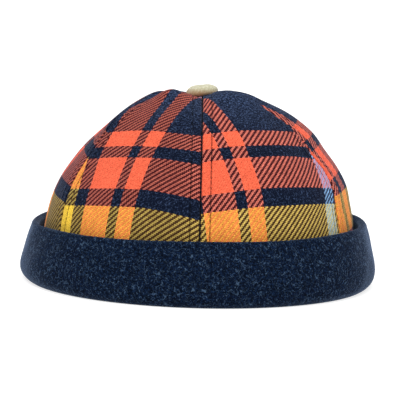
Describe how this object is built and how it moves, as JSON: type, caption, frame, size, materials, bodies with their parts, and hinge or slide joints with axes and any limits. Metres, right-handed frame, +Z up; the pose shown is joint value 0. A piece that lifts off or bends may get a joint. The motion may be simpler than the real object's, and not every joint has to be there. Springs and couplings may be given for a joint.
{
  "type": "docker cap",
  "caption": "Brimless round cap: a gored cloth crown with turned-in seams, a wide turned-up doubled cuff that it stands on, and a domed covered button on top.",
  "frame": {"origin": "on the surface the cap stands on, under the middle of the crown", "axes": "+Z up, front of the cap towards -Y, wearer's left towards +X"},
  "size_m": [0.2038, 0.2202, 0.113],
  "materials": {
    "tartan_wool": "brushed wool twill in a tartan of coral red, navy, yellow and light blue",
    "navy_wool": "milled melange wool, matt, with a short nap",
    "khaki_wool": "matt wool cloth drawn over a button, slightly fuzzy"
  },
  "bodies": {
    "root": {"crown_gore_1": "tartan_wool", "crown_gore_2": "tartan_wool", "crown_gore_3": "tartan_wool", "crown_gore_4": "tartan_wool", "crown_gore_5": "tartan_wool", "crown_gore_6": "tartan_wool", "cuff": "navy_wool", "top_button": "khaki_wool"}
  },
  "joints": []
}
